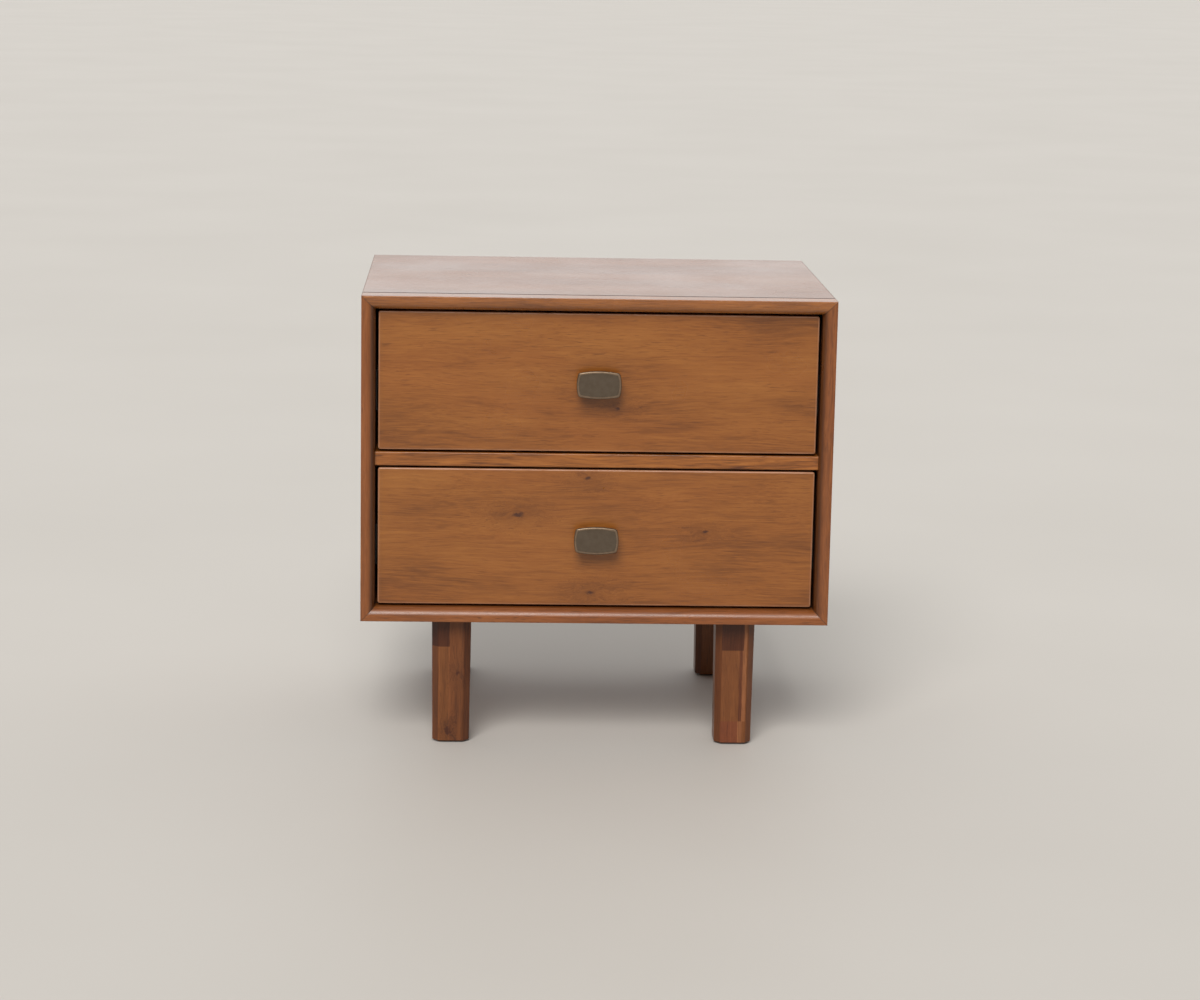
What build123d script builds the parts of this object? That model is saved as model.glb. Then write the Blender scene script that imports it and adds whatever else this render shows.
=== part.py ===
"""Two-drawer bedside cabinet: a mitred case on four slightly tapered legs, with two inset drawers on slides.

Frame: +Z up, the floor at Z = 0, the front faces -Y and +X is to the right of someone facing it.
The origin is on the floor, at the centre of the overall footprint (knobs included). Units are millimetres.

"Back" distances below are measured from the front edge of the case, towards +Y: see from_front().
"""

import os

from build123d import *

os.makedirs("parts", exist_ok=True)

# ------------------------------------------------------------------ driving dimensions
WIDTH = 508.0
CASE_DEPTH = 381.0
CASE_HEIGHT = 355.0
PANEL = 15.0  # thickness of the case panels and of the front lipping

LIPPING_DEPTH = 28.0  # solid wood strip round the front of the case
LIPPING_FLAT = 4.0  # flat outer part of the lipping's front
LIPPING_RADIUS = 11.0  # quarter round that runs from the flat to the inside
ARRIS = 0.8  # small round on the lipping's outer edge
SEAM = 1.2  # V-groove where lipping and panel meet, per side
EDGE_BREAK = 0.5

LEG_FOOT_SIZE, LEG_HEAD_SIZE = 40.5, 43.0  # across the flats: the legs taper slightly towards the floor
LEG_CHAMFER = 7.0
LEG_SOFTENING = 3.0
LEG_END_CHAMFER = 0.8
LEG_CENTRE_X = 155.5
LEG_CENTRE_BACK = 41.0  # leg centre line to the case's front edge, and to its back edge
GLIDE_THICKNESS = 1.8
GLIDE_RADIUS = 14.5
GLIDE_CHAMFER = 0.6
LEG_TOP = 141.0  # floor to the underside of the case

DIVIDER_HEIGHT = 15.0
DIVIDER_DEPTH = 60.0
DIVIDER_BACK = 11.0
DIVIDER_ROUND = 1.2

FRONT_BACK = 12.0  # drawer fronts stand this far inside the case's front edge
FRONT_THICKNESS = 18.0
FRONT_SIDE_GAP = 3.0
FRONT_END_GAP = 2.5  # above and below each drawer front
FRONT_CORNER = 2.5
FRONT_ROUND = 1.5

BOX_WALL = 12.0
BOX_LENGTH = 320.0
BOX_HEIGHT = 112.0
BOX_LIFT = 14.0  # underside of the drawer box above the floor of its bay
TENON = 4.0  # how far the box's front and back stand into its sides
BASE_THICKNESS = 5.0
BASE_LIFT = 8.0
BASE_GROOVE = 5.0
GLUE_ROOM = 0.3
HOLE_SPARE = 1.0  # how much deeper a blind hole is than what goes in it

KNOB_WIDTH = 48.0
KNOB_HEIGHT = 30.0
KNOB_BULGE_TOP = 2.3  # rise of the curved top and bottom edges
KNOB_BULGE_SIDE = 1.9  # rise of the curved left and right edges
KNOB_CORNER = 3.5
KNOB_PLATE = 4.5
KNOB_EDGE = 1.2  # rounding of the plate's edges
KNOB_RIM = 2.2  # raised rim, its rounded edge included
KNOB_DISH = 0.6
KNOB_PROJECTION = 17.0
KNOB_NECK, KNOB_WAIST, KNOB_FOOT = 6.5, 4.8, 8.0  # radii of the stem
KNOB_FOOT_THICKNESS = 1.6
KNOB_STEM_BITE = 1.0  # how far the stem runs into the plate

BACK_PANEL = 6.0
REBATE = 8.0  # width of the ledge that the back panel sits on

SLIDE_LENGTH = 300.0
SLIDE_FRONT_BACK = 32.0  # front end of the slides
SLIDE_THICKNESS = 12.7  # space between case side and drawer box
SLIDE_LIFT = 50.0  # slide centre line above the underside of the drawer box
SHEET = 1.2  # steel of the slide members
CAGE_SHEET = 0.7
CAGE_LENGTH = 146.0
BALLS_PER_CAGE = 6

# ------------------------------------------------------------------ worked-out places
KNOB_PROUD = KNOB_PROJECTION - FRONT_BACK
FRONT_EDGE = KNOB_PROUD - (CASE_DEPTH + KNOB_PROUD) / 2
CASE_TOP = LEG_TOP + CASE_HEIGHT
OUTER_X = WIDTH / 2
INNER_X = OUTER_X - PANEL
BOX_X = INNER_X - SLIDE_THICKNESS
BAY_HEIGHT = (CASE_HEIGHT - 2 * PANEL - DIVIDER_HEIGHT) / 2
BAY_FLOOR = {
    "lower": LEG_TOP + PANEL,
    "upper": LEG_TOP + PANEL + BAY_HEIGHT + DIVIDER_HEIGHT,
}
SIDES = {"left": -1, "right": 1}
UP, BACKWARD = Vector(0, 0, 1), Vector(0, 1, 0)


def from_front(distance):
    """The Y of a point that lies this far behind the case's front edge."""
    return FRONT_EDGE + distance


def write(builder, name):
    """Label one finished piece and write it to its own STEP file."""
    builder.part.label = name
    export_step(builder.part, f"parts/{name}.step")


def box_between(low, high, mode=Mode.ADD):
    """A box in the current part, from its lowest corner to its highest."""
    size = [b - a for a, b in zip(low, high)]
    with Locations(tuple(low)):
        Box(*size, align=(Align.MIN, Align.MIN, Align.MIN), mode=mode)


def screw(head_radius, head_height, shank_radius, length, countersunk=False):
    """A cross-head screw along Z: its head stands on Z = 0, or sinks below it, and its shank runs down."""
    slot_long, slot_wide, slot_deep = head_radius * 1.1, head_radius * 0.22, head_height * 0.5
    head_round = head_height * 0.45
    tip_radius = shank_radius * 0.35
    top = 0 if countersunk else head_height
    with BuildPart() as made:
        if countersunk:
            with Locations((0, 0, -head_height / 2)):
                Cone(shank_radius, head_radius, head_height)
        else:
            with Locations((0, 0, head_height / 2)):
                Cylinder(head_radius, head_height)
            fillet(made.edges().group_by(Axis.Z)[-1], head_round)
        with Locations((0, 0, -(length - shank_radius) / 2)):
            Cylinder(shank_radius, length - shank_radius)
        with Locations((0, 0, -length + shank_radius / 2)):
            Cone(tip_radius, shank_radius, shank_radius)
        for turn in (0, 90):
            with Locations(Location((0, 0, top), (0, 0, turn))):
                Box(slot_long, slot_wide, 2 * slot_deep, mode=Mode.SUBTRACT)
    return made.part


# ------------------------------------------------------------------ fasteners used in several places
PILOT_ROOM = 0.05  # radial room round a fastener in its hole
SLIDE_SCREW_HEAD, SLIDE_SCREW_HEAD_HEIGHT, SLIDE_SCREW_SHANK = 3.5, 1.3, 1.75
CASE_SCREW_LENGTH, BOX_SCREW_LENGTH = 13.0, 11.0
FRONT_SCREW_HEAD, FRONT_SCREW_HEAD_HEIGHT, FRONT_SCREW_SHANK, FRONT_SCREW_LENGTH = 4.0, 2.2, 2.0, 24.0
BACK_SCREW_HEAD, BACK_SCREW_HEAD_HEIGHT, BACK_SCREW_SHANK, BACK_SCREW_LENGTH = 3.2, 1.8, 1.5, 18.0
KNOB_SCREW_HEAD, KNOB_SCREW_HEAD_HEIGHT, KNOB_SCREW_SHANK, KNOB_SCREW_LENGTH = 4.5, 2.4, 2.0, 39.0

case_screw = screw(SLIDE_SCREW_HEAD, SLIDE_SCREW_HEAD_HEIGHT, SLIDE_SCREW_SHANK, CASE_SCREW_LENGTH)
box_screw = screw(SLIDE_SCREW_HEAD, SLIDE_SCREW_HEAD_HEIGHT, SLIDE_SCREW_SHANK, BOX_SCREW_LENGTH)
front_screw = screw(FRONT_SCREW_HEAD, FRONT_SCREW_HEAD_HEIGHT, FRONT_SCREW_SHANK, FRONT_SCREW_LENGTH)
back_screw = screw(BACK_SCREW_HEAD, BACK_SCREW_HEAD_HEIGHT, BACK_SCREW_SHANK, BACK_SCREW_LENGTH, True)
knob_screw = screw(KNOB_SCREW_HEAD, KNOB_SCREW_HEAD_HEIGHT, KNOB_SCREW_SHANK, KNOB_SCREW_LENGTH)

# Each slide is held by three screws on its centre line, on both sides. These are from the slide's front end.
CASE_SCREWS_ALONG_SLIDE = (35.0, 150.0, 265.0)
BOX_SCREWS_ALONG_SLIDE = (20.0, 130.0, 240.0)
SLIDE_SCREWS_BACK = [SLIDE_FRONT_BACK + along for along in CASE_SCREWS_ALONG_SLIDE]
BOX_SCREWS_BACK = [SLIDE_FRONT_BACK + along for along in BOX_SCREWS_ALONG_SLIDE]
SLIDE_Z = {drawer: floor + BOX_LIFT + SLIDE_LIFT for drawer, floor in BAY_FLOOR.items()}


def on_wall(side, x, back, z, outward):
    """A plane on a side wall at one point. Its Z axis points to the cabinet's middle, or away from it."""
    direction = side if outward else -side
    return Plane(origin=(side * x, from_front(back), z), z_dir=(direction, 0, 0))


# ------------------------------------------------------------------ the mitred case
# Each side of the case is a section that is extruded along the side and mitred at both ends.
CASE_MIDDLE = Vector(0, FRONT_EDGE, LEG_TOP + CASE_HEIGHT / 2)
INWARD = {
    "top": -UP,
    "bottom": UP,
    "left": Vector(1, 0, 0),
    "right": Vector(-1, 0, 0),
}


def half_sizes(side):
    """Half the distance across the case to this side, and half this side's own length."""
    if side in ("top", "bottom"):
        return CASE_HEIGHT / 2, WIDTH / 2
    return WIDTH / 2, CASE_HEIGHT / 2


def section_plane(side):
    """The plane of a side's section: X goes inward from the outer face, Y goes back from the front edge."""
    across, _ = half_sizes(side)
    inward = INWARD[side]
    return Plane(origin=CASE_MIDDLE - inward * across, x_dir=inward, z_dir=inward.cross(BACKWARD))


def mitre_both_ends(side):
    """Extrude the pending section along its side and cut both ends at 45 degrees."""
    plane = section_plane(side)
    _, half_length = half_sizes(side)
    extrude(amount=half_length, both=True)
    for end in (-1, 1):
        corner = plane.origin + plane.z_dir * (end * half_length)
        split(bisect_by=Plane(origin=corner, z_dir=plane.x_dir + plane.z_dir * end), keep=Keep.BOTTOM)


def lipping(side):
    """The solid strip at the front: flat on its outer part, then rounded back to the inside of the case."""
    with BuildPart() as made:
        with BuildSketch(section_plane(side)):
            with BuildLine():
                Polyline((SEAM, LIPPING_DEPTH), (0, LIPPING_DEPTH - SEAM), (0, ARRIS))
                RadiusArc((0, ARRIS), (ARRIS, 0), -ARRIS)
                Line((ARRIS, 0), (LIPPING_FLAT, 0))
                RadiusArc((LIPPING_FLAT, 0), (PANEL, LIPPING_RADIUS), -LIPPING_RADIUS)
                Polyline((PANEL, LIPPING_RADIUS), (PANEL, LIPPING_DEPTH), (SEAM, LIPPING_DEPTH))
            make_face()
        mitre_both_ends(side)
    return made


# Splines: loose strips glued in grooves across each mitre.
SPLINE_WIDTH, SPLINE_THICKNESS = 15.0, 4.0
SPLINE_GROOVE_WIDTH = 16.0
SPLINE_FROM_INSIDE = 7.0  # along the mitre, from the inner corner to the spline's middle
SPLINE_FRONT_BACK, SPLINE_REAR_BACK = 60.0, 340.0


def spline_plane(side_x, side_z):
    """The plane of the spline in one corner of the case: X across the mitre, Z along the spline."""
    inner = Vector(side_x * INNER_X, from_front(SPLINE_FRONT_BACK), 0)
    inner.Z = CASE_MIDDLE.Z + side_z * (CASE_HEIGHT / 2 - PANEL)
    outward = Vector(side_x, 0, side_z).normalized()
    across = Vector(side_x, 0, -side_z).normalized()
    return Plane(origin=inner + outward * SPLINE_FROM_INSIDE, x_dir=across, z_dir=BACKWARD)


SPLINE_PLANES = [spline_plane(sx, sz) for sx in (-1, 1) for sz in (-1, 1)]


def splines(width, mode=Mode.ADD):
    """All four splines, or the grooves for them."""
    with Locations(*SPLINE_PLANES):
        Box(
            width,
            SPLINE_THICKNESS,
            SPLINE_REAR_BACK - SPLINE_FRONT_BACK,
            align=(Align.CENTER, Align.CENTER, Align.MIN),
            mode=mode,
        )


# The back panel lies in a rebate and is held by countersunk screws.
BACK_HALF_X = INNER_X + REBATE
BACK_HALF_Z = CASE_HEIGHT / 2 - PANEL + REBATE
BACK_SCREWS_ACROSS, BACK_SCREWS_UP = 170.0, 90.0  # from the middle of the back to the screws in its edges
BACK_SCREW_EDGE_X = BACK_HALF_X - REBATE / 2
BACK_SCREW_EDGE_Z = BACK_HALF_Z - REBATE / 2
BACK_SCREW_POINTS = [
    *((x * BACK_SCREWS_ACROSS, z * BACK_SCREW_EDGE_Z) for x in (-1, 0, 1) for z in (-1, 1)),
    *((x * BACK_SCREW_EDGE_X, z * BACK_SCREWS_UP) for x in (-1, 1) for z in (-1, 1)),
]
BACK_SCREW_SINK = 0.3
BACK_SCREW_HEAD_ROOM = 0.6
BACK_SCREW_CONE = 82
BACK_SCREW_PLANES = [
    Plane(origin=(x, from_front(CASE_DEPTH), CASE_MIDDLE.Z + z), z_dir=(0, 1, 0))
    for x, z in BACK_SCREW_POINTS
]

# Dowels join the divider rail to the sides; slides are screwed to the sides.
DOWEL_RADIUS, DOWEL_LENGTH, DOWEL_IN_PANEL = 4.0, 30.0, 10.0
DOWELS_BACK = (42.0, 60.0)
DIVIDER_Z = BAY_FLOOR["upper"] - DIVIDER_HEIGHT / 2

# Leg fixings: a hanger bolt in each leg screws into a threaded insert in the bottom and a block above it.
BOLT_RADIUS, BOLT_CHAMFER, INSERT_RADIUS = 4.0, 0.8, 6.0
BOLT_IN_LEG, BOLT_ABOVE_LEG, INSERT_LENGTH = 40.0, 19.0, 22.0
BLOCK_WIDTH, BLOCK_DEPTH, BLOCK_HEIGHT = 70.0, 60.0, 10.0
BLOCK_FRONT_BACK = 32.0
LEGS = {
    f"{row}_{column}": (side * LEG_CENTRE_X, from_front(back))
    for row, back in (("front", LEG_CENTRE_BACK), ("rear", CASE_DEPTH - LEG_CENTRE_BACK))
    for column, side in SIDES.items()
}
LEG_POINTS = list(LEGS.values())


def panel(side):
    """One case panel: rebated for the back, grooved for the splines and drilled for its own fasteners."""
    rebate_start = CASE_DEPTH - BACK_PANEL
    with BuildPart() as made:
        with BuildSketch(section_plane(side)):
            with BuildLine():
                Polyline(
                    (SEAM, LIPPING_DEPTH),
                    (0, LIPPING_DEPTH + SEAM),
                    (0, CASE_DEPTH - EDGE_BREAK),
                    (EDGE_BREAK, CASE_DEPTH),
                    (PANEL - REBATE, CASE_DEPTH),
                    (PANEL - REBATE, rebate_start),
                    (PANEL, rebate_start),
                    (PANEL, LIPPING_DEPTH),
                    close=True,
                )
            make_face()
        mitre_both_ends(side)
        splines(SPLINE_GROOVE_WIDTH, mode=Mode.SUBTRACT)
        with Locations(*BACK_SCREW_PLANES):
            Hole(BACK_SCREW_SHANK + PILOT_ROOM, BACK_SCREW_LENGTH + HOLE_SPARE)
        if side in SIDES:
            sign = SIDES[side]
            with Locations(*[on_wall(sign, INNER_X, back, DIVIDER_Z, False) for back in DOWELS_BACK]):
                Hole(DOWEL_RADIUS + PILOT_ROOM, DOWEL_IN_PANEL + GLUE_ROOM)
            for z in SLIDE_Z.values():
                with Locations(*[on_wall(sign, INNER_X, back, z, False) for back in SLIDE_SCREWS_BACK]):
                    Hole(SLIDE_SCREW_SHANK + PILOT_ROOM, CASE_SCREW_LENGTH - SHEET + GLUE_ROOM)
        if side == "bottom":
            with Locations(*[(x, y, LEG_TOP) for x, y in LEG_POINTS]):
                Cylinder(INSERT_RADIUS + PILOT_ROOM, 2 * PANEL + HOLE_SPARE, mode=Mode.SUBTRACT)
    return made


for side in INWARD:
    write(lipping(side), f"{side}_front_lipping")
write(panel("top"), "top_panel")
write(panel("bottom"), "bottom_panel")
write(panel("left"), "left_side_panel")
write(panel("right"), "right_side_panel")

with BuildPart() as mitre_splines:
    splines(SPLINE_WIDTH)
write(mitre_splines, "mitre_splines")

with BuildPart() as back_panel:
    with Locations((0, from_front(CASE_DEPTH), CASE_MIDDLE.Z)):
        Box(
            2 * (BACK_HALF_X - GLUE_ROOM),
            BACK_PANEL,
            2 * (BACK_HALF_Z - GLUE_ROOM),
            align=(Align.CENTER, Align.MAX, Align.CENTER),
        )
    with Locations(*BACK_SCREW_PLANES):
        CounterSinkHole(
            BACK_SCREW_SHANK + PILOT_ROOM,
            BACK_SCREW_HEAD + BACK_SCREW_HEAD_ROOM,
            depth=BACK_PANEL + HOLE_SPARE,
            counter_sink_angle=BACK_SCREW_CONE,
        )
write(back_panel, "back_panel")

with BuildPart() as back_panel_screws:
    with Locations(*[plane.offset(-BACK_SCREW_SINK) for plane in BACK_SCREW_PLANES]):
        add(back_screw)
write(back_panel_screws, "back_panel_screws")

with BuildPart() as divider_rail:
    box_between(
        (-INNER_X, from_front(DIVIDER_BACK), BAY_FLOOR["upper"] - DIVIDER_HEIGHT),
        (INNER_X, from_front(DIVIDER_BACK + DIVIDER_DEPTH), BAY_FLOOR["upper"]),
    )
    fillet(divider_rail.edges().group_by(Axis.Y)[0].filter_by(Axis.X), DIVIDER_ROUND)
    for sign in SIDES.values():
        with Locations(*[on_wall(sign, INNER_X, back, DIVIDER_Z, True) for back in DOWELS_BACK]):
            Hole(DOWEL_RADIUS + PILOT_ROOM, DOWEL_LENGTH - DOWEL_IN_PANEL + GLUE_ROOM)
write(divider_rail, "divider_rail")

with BuildPart() as divider_dowels:
    for sign in SIDES.values():
        dowel_end = INNER_X + DOWEL_IN_PANEL
        with Locations(*[on_wall(sign, dowel_end, back, DIVIDER_Z, False) for back in DOWELS_BACK]):
            Cylinder(DOWEL_RADIUS, DOWEL_LENGTH, align=(Align.CENTER, Align.CENTER, Align.MIN))
write(divider_dowels, "divider_dowels")

# ------------------------------------------------------------------ legs and what holds them
GLIDE_PIN_RADIUS, GLIDE_PIN_LENGTH = 1.5, 14.0

for name, (x, y) in LEGS.items():
    with BuildPart() as leg:
        for height, size in ((GLIDE_THICKNESS, LEG_FOOT_SIZE), (LEG_TOP, LEG_HEAD_SIZE)):
            with BuildSketch(Plane.XY.offset(height)) as leg_section:
                with Locations((x, y)):
                    Rectangle(size, size)
                chamfer(leg_section.vertices(), LEG_CHAMFER)
        loft(ruled=True)
        fillet(leg.edges().filter_by(lambda edge: edge.length > LEG_HEAD_SIZE), LEG_SOFTENING)
        chamfer(leg.faces().sort_by(Axis.Z)[0].edges(), LEG_END_CHAMFER)
        with Locations((x, y, LEG_TOP)):
            Hole(BOLT_RADIUS + PILOT_ROOM, BOLT_IN_LEG + HOLE_SPARE)
        with Locations((x, y, GLIDE_THICKNESS)):
            Cylinder(
                GLIDE_PIN_RADIUS + PILOT_ROOM,
                GLIDE_PIN_LENGTH + HOLE_SPARE,
                align=(Align.CENTER, Align.CENTER, Align.MIN),
                mode=Mode.SUBTRACT,
            )
    write(leg, f"{name}_leg")

with BuildPart() as foot_glides:
    with Locations(*[(x, y, 0) for x, y in LEG_POINTS]):
        Cylinder(GLIDE_RADIUS, GLIDE_THICKNESS, align=(Align.CENTER, Align.CENTER, Align.MIN))
    chamfer(foot_glides.edges().group_by(Axis.Z)[0], GLIDE_CHAMFER)
    with Locations(*[(x, y, GLIDE_THICKNESS) for x, y in LEG_POINTS]):
        Cylinder(GLIDE_PIN_RADIUS, GLIDE_PIN_LENGTH, align=(Align.CENTER, Align.CENTER, Align.MIN))
write(foot_glides, "foot_glides")

with BuildPart() as leg_bolts:
    with Locations(*[(x, y, LEG_TOP - BOLT_IN_LEG) for x, y in LEG_POINTS]):
        Cylinder(BOLT_RADIUS, BOLT_IN_LEG + BOLT_ABOVE_LEG, align=(Align.CENTER, Align.CENTER, Align.MIN))
    chamfer(leg_bolts.edges(), BOLT_CHAMFER)
write(leg_bolts, "leg_hanger_bolts")

with BuildPart() as leg_inserts:
    with Locations(*[(x, y, LEG_TOP + GLUE_ROOM) for x, y in LEG_POINTS]):
        Cylinder(INSERT_RADIUS, INSERT_LENGTH, align=(Align.CENTER, Align.CENTER, Align.MIN))
        Cylinder(BOLT_RADIUS + PILOT_ROOM, 2 * INSERT_LENGTH + HOLE_SPARE, mode=Mode.SUBTRACT)
write(leg_inserts, "leg_threaded_inserts")

with BuildPart() as leg_blocks:
    for x, y in LEG_POINTS:
        is_front = y < from_front(CASE_DEPTH / 2)
        near = BLOCK_FRONT_BACK if is_front else CASE_DEPTH - BLOCK_FRONT_BACK - BLOCK_DEPTH
        box_between(
            (x - BLOCK_WIDTH / 2, from_front(near), LEG_TOP + PANEL),
            (x + BLOCK_WIDTH / 2, from_front(near + BLOCK_DEPTH), LEG_TOP + PANEL + BLOCK_HEIGHT),
        )
    with Locations(*[(x, y, LEG_TOP + PANEL) for x, y in LEG_POINTS]):
        Cylinder(INSERT_RADIUS + PILOT_ROOM, 4 * BLOCK_HEIGHT, mode=Mode.SUBTRACT)
write(leg_blocks, "leg_blocks")

# ------------------------------------------------------------------ drawer boxes
BOX_FRONT_BACK = FRONT_BACK + FRONT_THICKNESS
BOX_REAR_BACK = BOX_FRONT_BACK + BOX_LENGTH
FRONT_SCREWS_ACROSS, FRONT_SCREWS_UP = 150.0, 32.0  # from the middle of a drawer front
FRONT_SCREW_PLACES = [(a * FRONT_SCREWS_ACROSS, b * FRONT_SCREWS_UP) for a in (-1, 1) for b in (-1, 1)]


def front_middle(drawer):
    """The height of the middle of a drawer front."""
    return BAY_FLOOR[drawer] + BAY_HEIGHT / 2


def box_bottom(drawer):
    """The height of the underside of a drawer box."""
    return BAY_FLOOR[drawer] + BOX_LIFT


def facing(drawer, back, forward=True):
    """Planes for the knob hole and the four front screws, at one distance back."""
    direction = (0, -1, 0) if forward else (0, 1, 0)
    places = [(0, 0), *FRONT_SCREW_PLACES]
    return [
        Plane(origin=(x, from_front(back), front_middle(drawer) + z), z_dir=direction) for x, z in places
    ]


def base_groove(drawer):
    """Cut the groove that the drawer base stands in, out of whichever wall is being made."""
    low = box_bottom(drawer) + BASE_LIFT
    reach = BOX_X - BOX_WALL + BASE_GROOVE
    inset = BOX_WALL - BASE_GROOVE
    box_between(
        (-reach, from_front(BOX_FRONT_BACK + inset), low),
        (reach, from_front(BOX_REAR_BACK - inset), low + BASE_THICKNESS),
        mode=Mode.SUBTRACT,
    )


def drawer_front(drawer):
    """The visible slab, drilled for the knob and, from behind, for the screws that hold it."""
    with BuildPart() as made:
        with Locations((0, from_front(FRONT_BACK), front_middle(drawer))):
            Box(
                2 * (INNER_X - FRONT_SIDE_GAP),
                FRONT_THICKNESS,
                BAY_HEIGHT - 2 * FRONT_END_GAP,
                align=(Align.CENTER, Align.MIN, Align.CENTER),
            )
        fillet(made.edges().filter_by(Axis.Y), FRONT_CORNER)
        fillet(made.faces().sort_by(Axis.Y)[0].edges(), FRONT_ROUND)
        knob_hole, *screw_holes = facing(drawer, BOX_FRONT_BACK, forward=False)
        with Locations(knob_hole):
            Hole(KNOB_SCREW_SHANK + PILOT_ROOM, FRONT_THICKNESS)
        with Locations(*screw_holes):
            Hole(FRONT_SCREW_SHANK + PILOT_ROOM, FRONT_SCREW_LENGTH - BOX_WALL + HOLE_SPARE)
    return made


def box_end(drawer, near, drilled):
    """The box's own front or back, which stands a tenon's depth into the sides."""
    half = BOX_X - BOX_WALL + TENON
    low = box_bottom(drawer)
    with BuildPart() as made:
        box_between(
            (-half, from_front(near), low),
            (half, from_front(near + BOX_WALL), low + BOX_HEIGHT),
        )
        base_groove(drawer)
        if drilled:
            with Locations(*facing(drawer, near + BOX_WALL, forward=False)):
                Hole(FRONT_SCREW_SHANK + PILOT_ROOM, BOX_WALL)
    return made


def box_side(drawer, sign):
    """One side of the box: rebated at both ends, grooved for the base and drilled for the slide."""
    low = box_bottom(drawer)
    inner, outer = sign * (BOX_X - BOX_WALL), sign * BOX_X
    tenon_reach = sign * (BOX_X - BOX_WALL + TENON)
    with BuildPart() as made:
        box_between(
            (min(inner, outer), from_front(BOX_FRONT_BACK), low),
            (max(inner, outer), from_front(BOX_REAR_BACK), low + BOX_HEIGHT),
        )
        for near in (BOX_FRONT_BACK, BOX_REAR_BACK - BOX_WALL):
            box_between(
                (min(inner, tenon_reach), from_front(near), low),
                (max(inner, tenon_reach), from_front(near + BOX_WALL), low + BOX_HEIGHT),
                mode=Mode.SUBTRACT,
            )
        base_groove(drawer)
        holes = [on_wall(sign, BOX_X, back, SLIDE_Z[drawer], True) for back in BOX_SCREWS_BACK]
        with Locations(*holes):
            Hole(SLIDE_SCREW_SHANK + PILOT_ROOM, BOX_SCREW_LENGTH - SHEET + GLUE_ROOM)
    return made


def drawer_base(drawer):
    """The thin bottom of the box, loose in its groove."""
    low = box_bottom(drawer) + BASE_LIFT
    reach = BOX_X - BOX_WALL + BASE_GROOVE - GLUE_ROOM
    inset = BOX_WALL - BASE_GROOVE + GLUE_ROOM
    with BuildPart() as made:
        box_between(
            (-reach, from_front(BOX_FRONT_BACK + inset), low),
            (reach, from_front(BOX_REAR_BACK - inset), low + BASE_THICKNESS),
        )
    return made


def knob_outline(inset=0.0):
    """The barrel outline of a knob's plate, drawn in by an inset: four shallow arcs with rounded corners."""
    half_w, half_h = KNOB_WIDTH / 2 - inset, KNOB_HEIGHT / 2 - inset
    corner_x, corner_z = half_w - KNOB_BULGE_SIDE, half_h - KNOB_BULGE_TOP
    with BuildSketch() as drawn:
        with BuildLine():
            ThreePointArc((-corner_x, corner_z), (0, half_h), (corner_x, corner_z))
            ThreePointArc((corner_x, corner_z), (half_w, 0), (corner_x, -corner_z))
            ThreePointArc((corner_x, -corner_z), (0, -half_h), (-corner_x, -corner_z))
            ThreePointArc((-corner_x, -corner_z), (-half_w, 0), (-corner_x, corner_z))
        make_face()
        fillet(drawn.vertices(), KNOB_CORNER - inset)
    return drawn.sketch


def knob(drawer):
    """A cast knob: a barrel-shaped plate with a raised rim, on a round waisted stem."""
    middle = front_middle(drawer)
    plate_back = from_front(FRONT_BACK - KNOB_PROJECTION + KNOB_PLATE)
    stem_length = KNOB_PROJECTION - KNOB_PLATE
    foot_start = stem_length - KNOB_FOOT_THICKNESS
    plate_plane = Plane(origin=(0, plate_back, middle), x_dir=(1, 0, 0), z_dir=(0, -1, 0))
    stem_plane = Plane(origin=(0, plate_back, middle), x_dir=(1, 0, 0), z_dir=(0, 0, 1))
    with BuildPart() as made:
        with BuildSketch(plate_plane):
            add(knob_outline())
        extrude(amount=KNOB_PLATE)
        fillet(made.faces().sort_by(Axis.Y)[0].edges(), KNOB_EDGE)
        fillet(made.faces().sort_by(Axis.Y)[-1].edges(), KNOB_EDGE)
        with BuildSketch(plate_plane.offset(KNOB_PLATE)):
            add(knob_outline(KNOB_RIM))
        extrude(amount=-KNOB_DISH, mode=Mode.SUBTRACT)
        with BuildSketch(stem_plane):
            with BuildLine():
                Polyline((0, -KNOB_STEM_BITE), (KNOB_NECK, -KNOB_STEM_BITE), (KNOB_NECK, 0))
                ThreePointArc((KNOB_NECK, 0), (KNOB_WAIST, foot_start / 2), (KNOB_FOOT, foot_start))
                Polyline((KNOB_FOOT, foot_start), (KNOB_FOOT, stem_length), (0, stem_length))
                Line((0, stem_length), (0, -KNOB_STEM_BITE))
            make_face()
        revolve(axis=Axis((0, plate_back, middle), (0, 1, 0)))
        with Locations(Plane(origin=(0, from_front(FRONT_BACK), middle), z_dir=(0, 1, 0))):
            Hole(KNOB_SCREW_SHANK + PILOT_ROOM, KNOB_SCREW_LENGTH - FRONT_THICKNESS - BOX_WALL + HOLE_SPARE)
    return made


def drawer_fastener(drawer, fastener, places):
    """Screws driven forwards from inside the drawer box, at some of its drilled places."""
    with BuildPart() as made:
        with Locations(*facing(drawer, BOX_FRONT_BACK + BOX_WALL, forward=False)[places]):
            add(fastener)
    return made


KNOB_PLACE, SCREW_PLACES = slice(0, 1), slice(1, None)

for drawer in BAY_FLOOR:
    write(drawer_front(drawer), f"{drawer}_drawer_front")
    write(box_end(drawer, BOX_FRONT_BACK, drilled=True), f"{drawer}_drawer_box_front")
    write(box_end(drawer, BOX_REAR_BACK - BOX_WALL, drilled=False), f"{drawer}_drawer_box_back")
    write(drawer_base(drawer), f"{drawer}_drawer_base")
    for name, sign in SIDES.items():
        write(box_side(drawer, sign), f"{drawer}_drawer_{name}_side")
    write(knob(drawer), f"{drawer}_knob")
    write(drawer_fastener(drawer, knob_screw, KNOB_PLACE), f"{drawer}_knob_screw")
    write(drawer_fastener(drawer, front_screw, SCREW_PLACES), f"{drawer}_drawer_front_screws")

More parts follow.
